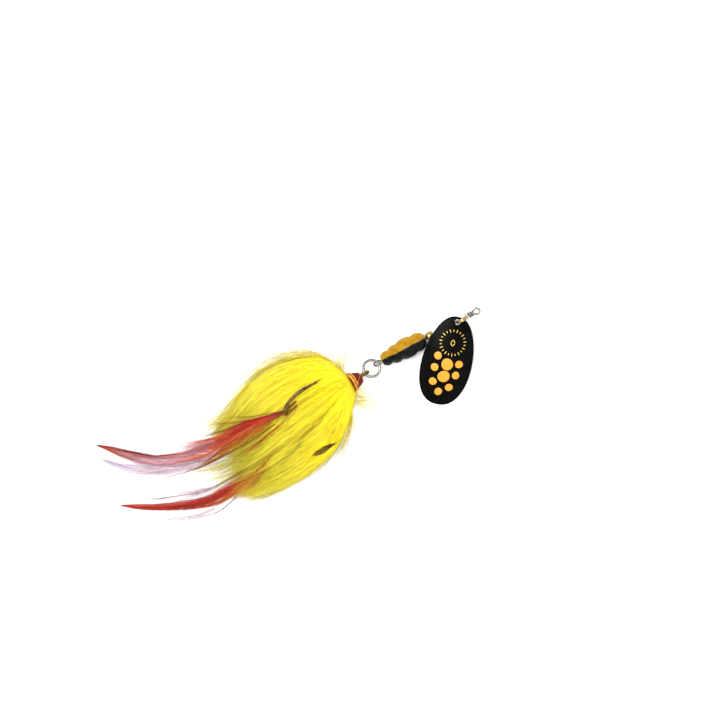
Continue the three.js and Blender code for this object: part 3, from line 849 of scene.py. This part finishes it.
def growHair(chance, count, turnFrom, turnTo, depthFrom, depthTo):
    # hairs grow in tufts: each keeps near its tuft's way and depth, and closes in on it
    tufts = bucktail["clumps"]
    tuft = chance.integers(0, tufts, count)
    tuftTurn = np.linspace(turnFrom, turnTo, tufts) + chance.normal(0, bucktail["jitter"], tufts)
    tuftDepth = chance.uniform(depthFrom, depthTo, tufts)
    if depthTo == 1:
        tuftDepth = 1 - 0.09 * chance.random(tufts) ** 1.5
    tuftEnd = chance.uniform(0.86, 1.0, tufts)
    tuftDrift = chance.normal(0, bucktail["drift"], tufts)
    part = np.linspace(0, 1, bucktail["points"])[None]
    spread = chance.normal(0, bucktail["spread"], (count, 1)) * (1 - 0.55 * part)
    stray = chance.normal(0, bucktail["stray"], (count, 1))
    stray = stray * (chance.random((count, 1)) < bucktail["strayShare"]) * part
    turn = tuftTurn[tuft][:, None] + spread + stray + tuftDrift[tuft][:, None] * part
    depth = tuftDepth[tuft][:, None] + chance.normal(0, bucktail["depthSpread"], (count, 1))
    depth = np.clip(depth, 0.1, 1.04) * (1 - 0.03 * part)
    rearY = hairSurface(np.full(count, 0.85), turn[:, -1], depth[:, -1])[:, 1]
    longest = hairPlace(np.interp(rearY, hairEnds[:, 0], hairEnds[:, 1]))
    reach = longest * tuftEnd[tuft] * (1.02 - 0.5 * chance.random(count) ** 1.3)
    paths = hairSurface(part * reach[:, None], turn, depth)
    wander = np.cumsum(chance.normal(0, bucktail["wander"], paths.shape), axis=1)
    paths += wander * part[..., None] ** 1.3
    tone = 0.25 * chance.random(tufts)[tuft] + 0.75 * chance.random(count) ** 0.7
    return openParting(paths), tone


def openParting(paths):
    # above the third hook the hair may rise only as the distance from the parting grows
    a, b = np.array(parting["from"]), np.array(parting["to"])
    flat = paths[..., :2] - a
    share = np.clip(flat @ (b - a) / ((b - a) @ (b - a)), 0, 1)
    away = np.linalg.norm(flat - share[..., None] * (b - a), axis=-1)
    floor = parting["floorFrom"] + share * (parting["floorTo"] - parting["floorFrom"])
    limit = floor + parting["slope"] * np.maximum(0, away - parting["half"]) ** 2
    paths[..., 2] = np.clip(paths[..., 2], 0.15, np.maximum(limit, 0.2))
    return paths


# darker streaks on the upper side, painted shade between hair locks: middle points, half width and
# strength
shadeStreaks = {"nearHead": (((-63.5, -6.8), (-67.6, -8.1), (-73.0, -9.8), (-78.1, -11.0)), 0.6, 0.8),
           "wide": (((-73.0, -10.5), (-81.3, -12.7), (-87.1, -15.3)), 1.6, 0.6),
           "spot": (((-84.8, -15.2), (-88.2, -15.7)), 0.8, 1.0),
           "inner": (((-84.4, -3.7), (-88.9, -3.7), (-95.2, -4.9), (-101.4, -6.1)), 0.5, 0.7),
           "rear": (((-98.1, -6.1), (-103.5, -8.9), (-108.0, -10.0)), 0.7, 0.8),
           "fine": (((-90.5, -4.5), (-95.0, -6.7), (-100.8, -9.2)), 0.4, 0.8),
           "low": (((-83.6, -18.3), (-88.9, -16.6), (-97.9, -18.6)), 0.8, 0.5),
           "knot": (((-56.2, -1.0), (-57.6, -2.6)), 0.5, 0.9)}


# hairs near a streak's middle line take painted shade, only where they lie higher than 9 mm
def streakShade(paths, chance):  # a hair takes a streak's colour near its middle line
    stainAndShade = np.zeros(paths.shape[:2])
    for line, half, strength in shadeStreaks.values():
        dense = smoothPath(np.array([(*point, 0) for point in line]), 24)[:, :2]
        away = np.linalg.norm(paths[:, :, None, :2] - dense[None, None], axis=-1).min(axis=2)
        share = np.clip(1.4 - away / half, 0, 1) * strength
        takes = np.clip(chance.normal(0.25, 0.45, len(paths)), 0, 1)[:, None]
        stainAndShade = np.maximum(stainAndShade, share * takes * 1.5)
    return np.clip(stainAndShade, 0, 1) * (paths[..., 2] > 9)


def hairMarks(paths, tone, chance):
    part = np.broadcast_to(np.linspace(0, 1, paths.shape[1])[None], paths.shape[:2])
    takes = (chance.random(len(paths)) < 0.05)[:, None]
    ochre = takes * chance.uniform(0.25, 0.7, (len(paths), 1))
    # the mark joins painted shade along the streaks with the ochre colour of a few hairs
    stainAndShade = np.maximum(streakShade(paths, chance), ochre)
    return {"along": part, "chance": tone, "stainAndShade": stainAndShade}


def makeHair():
    chance = np.random.default_rng(bucktail["seed"])
    top, side, under = (math.radians(turn) for turn in treble["turns"])
    sectors = {"hairTop": ("hair_top", top, side), "hairUnder": ("hair_under", side, under),
               "hairSide": ("hair_side", under - 2 * math.pi, top)}
    for name, (node, start, end) in sectors.items():
        for layer, (low, high) in enumerate(((0.3, 0.85), (0.85, 1.0))):
            paths, tone = growHair(chance, bucktail["perPiece"], start, end, low, high)
            part = np.linspace(0, 1, bucktail["points"])[None]
            bold = chance.random(len(paths)) < 0.1 * layer
            full = bucktail[("inner", "outer")[layer]]
            thick = chance.uniform(0.7, 1.1, (len(paths), 1)) * full
            thick *= 1 + 0.8 * bold[:, None]
            tone = np.where(bold, np.round(chance.random(len(paths))), tone)
            radius = thick * (1 - 0.62 * part ** 2)
            addStrands(f"{name}{layer + 1}", paths, radius, hairMarks(paths, tone, chance),
                       bucktailYellow, "dressed_hook", "hair_yellow", stands=[node])


# loose hairs: points of a line, how many follow it, and how far they stray from it
looseHairs = (
    (((-56.0, 6.0, 10), (-59.5, 13.4, 10), (-66.0, 18.6, 10), (-75.9, 21.6, 9),
      (-84.6, 22.4, 8), (-93.0, 20.4, 7), (-101.0, 16.6, 5)), 40, 2.6),
    (((-56.0, 5.0, 9), (-59.4, 12.0, 9), (-67.3, 16.8, 9), (-76.2, 19.2, 9),
      (-85.2, 19.6, 8), (-94.1, 17.6, 7), (-101.3, 14.8, 6), (-109.0, 11.2, 5)), 80, 1.6),
    (((-58.0, 8.0, 9), (-66.0, 16.5, 12), (-74.8, 22.5, 13), (-80.8, 29.5, 13)), 9, 2.2),
    (((-56.0, 3.0, 10), (-54.5, 8.0, 12), (-52.6, 13.0, 14), (-51.9, 18.5, 15)), 14, 2.2),
    (((-56.0, 3.0, 9), (-52.5, 7.0, 12), (-47.4, 10.1, 14), (-42.0, 12.6, 15)), 10, 2.4),
    (((-84.0, 17.0, 12), (-94.6, 16.6, 9), (-103.0, 13.2, 7), (-112.0, 9.5, 5),
      (-119.0, 7.6, 3)), 70, 1.7),
    (((-56.0, -5.0, 9), (-52.0, -8.6, 11), (-46.0, -10.4, 13), (-40.0, -10.8, 14),
      (-34.0, -13.5, 12)), 10, 2.4),
    (((-56.0, -8.0, 9), (-52.5, -11.0, 9), (-47.0, -12.6, 10), (-40.5, -15.6, 10)), 9, 3.0),
    (((-54.0, -7.0, 8), (-52.0, -13.0, 9), (-50.5, -19.0, 9), (-51.0, -26.0, 8)), 8, 3.2),
    (((-56.5, -10.0, 6), (-52.0, -14.0, 7), (-48.5, -19.0, 7), (-47.0, -23.0, 6)), 9, 2.2),
    (((-60.0, -14.0, 9), (-64.0, -20.0, 9), (-70.0, -26.0, 8), (-75.0, -30.0, 6)), 26, 2.4),
    (((-62.0, -16.0, 7), (-70.0, -22.6, 7), (-80.0, -26.8, 6), (-91.0, -28.6, 5),
      (-103.0, -28.8, 3)), 60, 0.8),
    (((-88.0, -27.0, 4), (-100.0, -28.6, 3), (-112.0, -27.0, 2), (-121.0, -25.0, 1)), 60, 1.1),
    (((-90.0, -5.0, 18), (-103.0, -8.0, 13), (-114.0, -9.5, 9), (-125.0, -9.0, 5),
      (-134.0, -7.0, 3)), 60, 2.0),
    (((-92.0, 8.0, 18), (-103.0, 9.0, 13), (-113.0, 8.6, 9), (-122.0, 9.0, 6)), 60, 1.6),
    (((-96.0, -10.0, 17), (-108.0, -13.0, 12), (-119.0, -13.5, 8), (-131.0, -11.5, 4)), 60, 1.6))


def followLine(chance, line, count, stray, points):
    # copies of a line that start close together and fan out, each with its own length
    part = np.linspace(0, 1, points)[None]
    longest = chance.uniform(0.55, 1.0, (count, 1))
    dense = smoothPath(line, fineRows)
    row = part * longest * (fineRows - 1)
    paths = np.stack([np.interp(row, np.arange(fineRows), dense[:, i]) for i in range(3)], axis=-1)
    fan = chance.normal(0, stray, (count, 1, 3)) * (0.25 + 0.75 * part[..., None])
    bend = chance.normal(0, stray, (count, 1, 3)) * part[..., None] ** 2
    paths = paths + fan + bend
    paths[..., 2] = np.maximum(paths[..., 2], 0.15)
    return paths


def makeLooseHair():
    chance = np.random.default_rng(17)
    sets = [followLine(chance, line, count, stray, 12) for line, count, stray in looseHairs]
    paths = np.concatenate(sets)
    part = np.linspace(0, 1, 12)[None]
    radius = strandRadius * (1 - 0.45 * part ** 2) * np.ones((len(paths), 1))
    marks = {"along": np.broadcast_to(0.4 + 0.6 * part, radius.shape),
             "chance": chance.uniform(0, 1, len(paths)),
             "stainAndShade": chance.uniform(0.1, 0.5, len(paths))}
    addStrands("looseHair", paths, radius, marks, bucktailYellow, "dressed_hook",
               "hair_yellow")


makeHair()
makeLooseHair()
print("bucktail is made")


# rows from root to tip: middle, upper edge and lower edge across the table, and the height
featherTop = {"rows": (
    ((-77.6, 1.8), (-77.4, 2.7), (-77.8, -0.4), 26.9),
    ((-84.3, 0.4), (-83.9, 1.8), (-84.9, -2.0), 27.0),
    ((-89.8, 1.0), (-89.7, 2.9), (-89.9, -1.4), 26.3),
    ((-95.4, 1.3), (-95.3, 4.0), (-95.2, -2.1), 24.6),
    ((-102.7, 1.2), (-102.4, 5.2), (-102.6, -3.2), 21.6),
    ((-110.5, 0.4), (-110.0, 5.6), (-110.0, -4.2), 17.6),
    ((-118.3, -0.2), (-117.5, 5.4), (-117.7, -4.4), 13.8),
    ((-125.7, 0.1), (-124.7, 5.2), (-125.8, -3.8), 10.4),
    ((-134.7, 2.2), (-133.7, 5.6), (-134.6, -0.4), 7.6),
    ((-143.2, 5.2), (-141.5, 8.3), (-143.8, 4.2), 6.9),
    ((-150.8, 10.2), (-148.7, 12.9), (-151.7, 9.5), 4.7),
    ((-157.4, 17.0), (-156.1, 18.5), (-158.2, 16.5), 2.9),
    ((-161.8, 22.2), (-161.0, 22.7), (-162.2, 22.0), 1.7),
    ((-165.1, 25.6), (-165.1, 25.7), (-165.1, 25.5), 0.9)),
    # tones along the rows at the lower edge, the quill, half way up and the upper edge
    "lowerTone": (.12, .1, .16, .3, .38, .42, .5, .6, .76, .84, .84, .6, .3, .14),
    "quillTone": (.12, .12, .18, .26, .3, .34, .42, .54, .62, .66, .64, .56, .4, .2),
    "midTone": (.12, .12, .18, .27, .31, .4, .52, .66, .76, .84, .84, .74, .34, .14),
    "upperTone": (.12, .12, .16, .22, .26, .4, .58, .72, .6, .26, .16, .14, .12, .12),
    "gold": (.1, .15, .35, .65, .85, .9, .8, .5, .12, 0, 0, 0, 0, 0),
    "count": 1900, "locks": 210, "longest": 0.36, "seed": 31, "quill": 0.2}
featherSide = {"rows": (
    ((-96.0, -14.4), (-95.4, -12.6), (-96.6, -16.0), 20.2),
    ((-105.3, -17.2), (-104.6, -14.6), (-106.0, -19.0), 15.6),
    ((-111.5, -18.2), (-111.0, -15.0), (-111.5, -20.8), 12.2),
    ((-117.7, -19.0), (-117.4, -15.4), (-117.5, -21.9), 9.2),
    ((-124.5, -19.6), (-124.7, -16.0), (-124.4, -22.8), 6.8),
    ((-130.8, -19.2), (-131.0, -16.3), (-131.3, -21.8), 5.0),
    ((-138.4, -17.4), (-138.0, -15.3), (-139.2, -19.4), 3.7),
    ((-146.7, -14.2), (-145.8, -12.6), (-147.8, -15.7), 2.8),
    ((-154.7, -10.3), (-153.9, -9.3), (-155.7, -11.4), 2.1),
    ((-161.3, -6.8), (-160.7, -6.2), (-162.1, -7.4), 1.5),
    ((-167.8, -3.0), (-167.7, -2.8), (-167.9, -3.2), 0.9)),
    "lowerTone": (.3, .34, .4, .42, .38, .3, .27, .27, .28, .34, .3),
    "quillTone": (.3, .32, .32, .3, .29, .28, .27, .28, .3, .36, .34),
    "midTone": (.3, .32, .34, .34, .32, .3, .3, .32, .36, .42, .3),
    "upperTone": (.3, .3, .34, .45, .6, .72, .78, .7, .6, .5, .3),
    "gold": (1, 1, .95, .85, .6, .3, .08, 0, 0, 0, 0),
    "count": 1700, "locks": 170, "longest": 0.46, "seed": 37, "quill": 0.16}
featherMiddle = {"rows": (
    ((-116.0, -1.0), (-116.0, 0.2), (-116.2, -2.2), 15.6),
    ((-124.2, -1.9), (-124.4, -0.3), (-124.1, -3.4), 12.4),
    ((-131.5, -1.2), (-131.0, 0.8), (-131.9, -2.9), 9.4),
    ((-138.8, 1.0), (-138.1, 3.0), (-139.1, -0.6), 7.0),
    ((-148.3, 4.9), (-147.3, 7.4), (-149.1, 2.6), 4.5),
    ((-156.2, 9.7), (-155.0, 11.7), (-157.7, 7.5), 2.8),
    ((-162.2, 14.9), (-161.4, 16.0), (-163.2, 13.8), 1.6),
    ((-165.8, 18.8), (-165.7, 18.9), (-165.9, 18.7), 0.8)),
    "lowerTone": (.84, .84, .86, .88, .9, .92, .94, .95),
    "quillTone": (.72, .74, .76, .8, .84, .86, .9, .94),
    "midTone": (.84, .84, .85, .87, .9, .93, .94, .95),
    "upperTone": (.8, .8, .84, .88, .9, .93, .94, .95),
    "gold": (0, 0, 0, 0, 0, 0, 0, 0),
    "count": 460, "locks": 60, "longest": 0.5, "seed": 41, "quill": 0.08}

# single lines beside the feathers: points, tone, gold, how many follow it and how far they stray
featherLines = {
    "featherTop": (
        (((-90.6, 3.1), (-98.2, 5.2), (-104.0, 8.1), (-111.8, 11.3)), .08, .5, 6, .3),
        (((-98.8, 4.0), (-105.2, 5.9), (-111.5, 8.1), (-116.6, 9.7)), .08, .6, 9, .4),
        (((-101.3, 3.9), (-110.5, 5.2), (-116.4, 6.3), (-124.0, 8.1)), .06, .25, 14, .35),
        (((-110.5, 2.3), (-118.5, 4.4), (-124.9, 6.4), (-131.3, 8.7)), .4, .3, 26, .55),
        (((-117.0, 3.2), (-124.0, 4.8), (-131.5, 7.2), (-138.5, 10.2)), .7, .15, 30, .8),
        (((-94.7, -2.0), (-106.0, -0.4), (-113.5, -0.5), (-119.0, -1.6), (-126.2, -0.9),
          (-132.8, 1.0)), .05, .3, 14, .3),
        (((-90.5, -2.5), (-102.1, -4.0), (-113.0, -4.3), (-120.5, -4.4), (-127.7, -4.0),
          (-137.4, -2.7), (-149.7, 0.2)), .06, .5, 34, .34),
        (((-92.8, -1.3), (-106.9, -2.3), (-115.7, -2.4), (-123.3, -2.4), (-129.1, -1.8)),
         .3, 1, 34, .6),
        (((-89.4, -3.8), (-98.9, -6.0), (-106.8, -7.4), (-114.0, -8.2)), .2, .8, 16, .7),
        (((-77.6, 2.0), (-81.0, 1.2), (-86.0, 0.6), (-92.0, 0.6)), .06, .25, 30, .45),
        (((-134.0, 5.2), (-143.0, 8.8), (-150.0, 13.6), (-157.0, 19.2), (-164.6, 25.8)),
         .12, 0, 20, .6),
        (((-132.0, 4.0), (-142.0, 7.4), (-150.0, 12.0), (-158.0, 18.4), (-164.6, 25.6)),
         .62, 0, 40, .6),
        (((-78.2, 0.4), (-81.0, -0.6), (-85.0, -1.8), (-91.0, -3.4)), .1, .5, 16, .7)),
    "featherSide": (
        (((-92.1, -10.5), (-101.8, -12.4), (-111.2, -13.6), (-120.6, -14.5)), .08, .6, 16, .5),
        (((-104.0, -13.4), (-114.6, -14.2), (-124.1, -14.6), (-134.3, -14.1), (-140.7, -12.1)),
         .05, .15, 12, .25),
        (((-134.0, -14.0), (-145.0, -10.4), (-154.0, -7.0), (-163.6, -0.9)), .06, 0, 10, .3),
        (((-130.8, -15.2), (-137.1, -14.6), (-143.5, -12.8), (-147.4, -11.6)), .92, 0, 12, .16),
        (((-120.5, -23.0), (-129.3, -24.9), (-135.0, -24.5), (-141.1, -22.9), (-147.6, -20.0),
          (-157.9, -15.1)), .06, .1, 6, .3),
        (((-131.6, -23.0), (-136.6, -22.9), (-143.3, -21.5), (-152.4, -18.0), (-158.1, -14.6)),
         .84, 0, 26, .8),
        (((-126.0, -15.0), (-133.0, -13.2), (-141.0, -10.4), (-151.0, -6.0)), .82, 0, 30, .8),
        (((-91.0, -11.5), (-101.0, -15.6), (-111.0, -19.2), (-122.0, -21.6)), .3, 1, 150, 1.7),
        (((-93.0, -13.5), (-103.0, -17.8), (-112.0, -20.6), (-121.0, -22.4)), .05, .6, 14, 1.8)),
    "featherMiddle": (
        (((-131.0, -1.6), (-140.0, 0.2), (-150.0, 4.0), (-161.0, 11.0)), .6, 0, 7, .35),
        (((-128.0, -2.6), (-138.0, -0.8), (-149.0, 3.0), (-158.0, 7.4)), .82, 0, 24, .8))}


def buildFeatherShade():
    # a barb's colour runs from maroon over red and pink to almost white, or towards amber
    group, given, result = newGroup("featherShade", {},
        {"Color": "NodeSocketColor", "Roughness": "NodeSocketFloat"})
    place = addNode(group, "ShaderNodeTexCoord").outputs["Object"]
    patch = noise(group, place, 1200.0, 2)
    tone = maths(group, "ADD", mark(group, "tone"),
                 maths(group, "MULTIPLY", maths(group, "SUBTRACT", patch, 0.5), 0.08))
    stops = [(0.0, "2a0604"), (0.14, "740c08"), (0.28, "c4221e"), (0.42, "cc4a2a"),
             (0.56, "c87060"), (0.72, "cf98a6"), (0.86, "d6c8d8"), (1.0, "f0ecf4")]
    shade = ramp(group, tone, [(at, colour(code)) for at, code in stops])
    warm = ramp(group, mark(group, "chance"), [(0.0, colour("62280a")), (0.3, colour("ae5810")),
                                              (0.65, colour("dc941e")), (1, colour("f0c440"))])
    whole = mixed(group, mark(group, "gold"), shade, warm)
    lightness = addNode(group, "ShaderNodeMapRange", {0: mark(group, "chance"), 3: 0.78,
                        4: 1.08}).outputs[0]
    toned = addNode(group, "ShaderNodeHueSaturation", {"Color": whole, "Value": lightness})
    group.links.new(toned.outputs["Color"], result.inputs["Color"])
    group.links.new(remap(group, patch, 0.3, 0.7, 0.4, 0.65), result.inputs["Roughness"])
    return group


featherGroup = buildFeatherShade()


featherRed = groupFinish("featherRed", featherGroup, {}, Specular_IOR_Level=0.3)
featherPale = groupFinish("featherPale", featherGroup, {}, Specular_IOR_Level=0.3)
quillDark = handledFinish("quillDark", "5a1414", "7a2018", 0.3, 0.5, 0.1, 800.0, 6000.0)
quillPale = handledFinish("quillPale", "b48c9c", "d0b0c0", 0.3, 0.5, 0.1, 800.0, 6000.0)


def along(values, spot):  # a table's value at places between its rows
    return np.interp(spot, np.arange(len(values)), values)


def featherBarbs(feather, chance):
    # a barb leaves the quill, bends quickly towards the tip, and runs on beside the quill
    rows = feather["rows"]
    last = len(rows) - 1
    quill, upper, lower = (np.array([(*row[i], row[3]) for row in rows]) for i in range(3))
    tables = [smoothPath(line, fineRows) for line in (quill, upper, lower)]
    count, locks = feather["count"], feather["locks"]
    lock = chance.integers(0, locks, count)
    lockEdge = chance.uniform(-1, 1, locks)
    lockEdge = np.sign(lockEdge) * np.abs(lockEdge) ** 0.7 * chance.uniform(0.9, 1.2, locks)
    lockStart = chance.random(locks) ** 0.9 * 0.97
    start = np.clip(lockStart[lock] + chance.normal(0, 0.008, count), 0, 1)
    length = feather["longest"] * (chance.uniform(0.5, 1.0, locks)[lock]
                                   * chance.uniform(0.6, 1.0, count))
    step = np.linspace(0, 1, 8)[None]
    furthest = chance.uniform(0.93, 1, (count, 1))
    spot = np.minimum(start[:, None] + length[:, None] * step, furthest)
    edge = lockEdge[lock] + chance.normal(0, 0.05, count)
    side = np.clip(edge[:, None], -1.2, 1.2) * (1 - (1 - step) ** 1.7)
    at = [np.stack([np.interp(spot * (fineRows - 1), np.arange(fineRows), table[:, i])
                    for i in range(3)], axis=-1) for table in tables]
    wide = np.abs(side)[..., None]
    paths = at[0] + wide * (np.where(side[..., None] > 0, at[1], at[2]) - at[0])
    paths[..., 2] += 0.5 * (1 - side ** 2) + chance.normal(0, 0.4, (count, 1)) * step
    paths += np.cumsum(chance.normal(0, 0.05, paths.shape), axis=1) * step[..., None]
    paths[..., 2] = np.maximum(paths[..., 2], 0.12)
    row = spot * last
    tone = np.where(side > 0,
                    np.where(side < 0.5,
                             along(feather["quillTone"], row) * (1 - 2 * side)
                             + along(feather["midTone"], row) * 2 * side,
                             along(feather["midTone"], row) * (2 - 2 * side)
                             + along(feather["upperTone"], row) * (2 * side - 1)),
                    along(feather["quillTone"], row) * (1 + side)
                    - along(feather["lowerTone"], row) * side)
    tone = tone + chance.normal(0, 0.06, locks)[lock][:, None]
    tone = tone + chance.normal(0, 0.03, (count, 1))
    takes = (chance.random((count, 1)) < 0.55 + 0.35 * (edge[:, None] < 0))
    gold = along(feather["gold"], row) * takes * np.clip(0.25 - side, 0, 1)
    dark = chance.random((count, 1)) < 0.12
    tone = np.where(dark, np.minimum(tone, 0.1), tone)
    return paths, tone, gold


def addBarbs(name, paths, tone, gold, thinning, chance, *rest, **more):
    count, points = paths.shape[:2]
    step = np.linspace(0, 1, points)[None]
    radius = strandRadius * (1 - thinning * step) * chance.uniform(0.6, 1.1, (count, 1))
    marks = {"tone": tone, "gold": gold, "chance": chance.random(count)}
    addStrands(name, paths, radius, marks, *rest, **more)


def makeFeather(name, node, feather, finish, quillFinish, slot):
    chance = np.random.default_rng(feather["seed"])
    line = evenPath([(*row[0], row[3] + 0.3) for row in feather["rows"]], 0.9)
    thick = feather["quill"] * (1 - 0.8 * np.linspace(0, 1, len(line)))
    addGrid(name + "Quill", tubeGrid(line, thick, 8), False, quillFinish, "dressed_hook", slot)
    paths, tone, gold = featherBarbs(feather, chance)
    addBarbs(name + "Barbs", paths, tone, gold, 0.6, chance, finish, "dressed_hook", slot,
             stands=[node])
    sets, tones, golds = [], [], []
    heights = np.array([(-row[0][0], row[3]) for row in feather["rows"]])
    for line, lineTone, lineGold, count, stray in featherLines[name]:
        raised = [(x, y, np.interp(-x, *heights.T) + 0.4) for x, y in line]
        sets.append(followLine(chance, raised, count, stray, 10))
        tones.append(lineTone + chance.normal(0, 0.04, count))
        golds.append(np.full(count, lineGold) * chance.uniform(0.6, 1, count))
    addBarbs(name + "Lines", np.concatenate(sets), np.concatenate(tones),
             np.concatenate(golds), 0.5, chance, finish, "dressed_hook", slot)


makeFeather("featherTop", "feather_top", featherTop, featherRed, quillDark, "feather_red")
makeFeather("featherSide", "feather_side", featherSide, featherRed, quillDark, "feather_red")
makeFeather("featherMiddle", "feather_middle", featherMiddle, featherPale, quillPale,
            "feather_pale")
print("feathers are made")
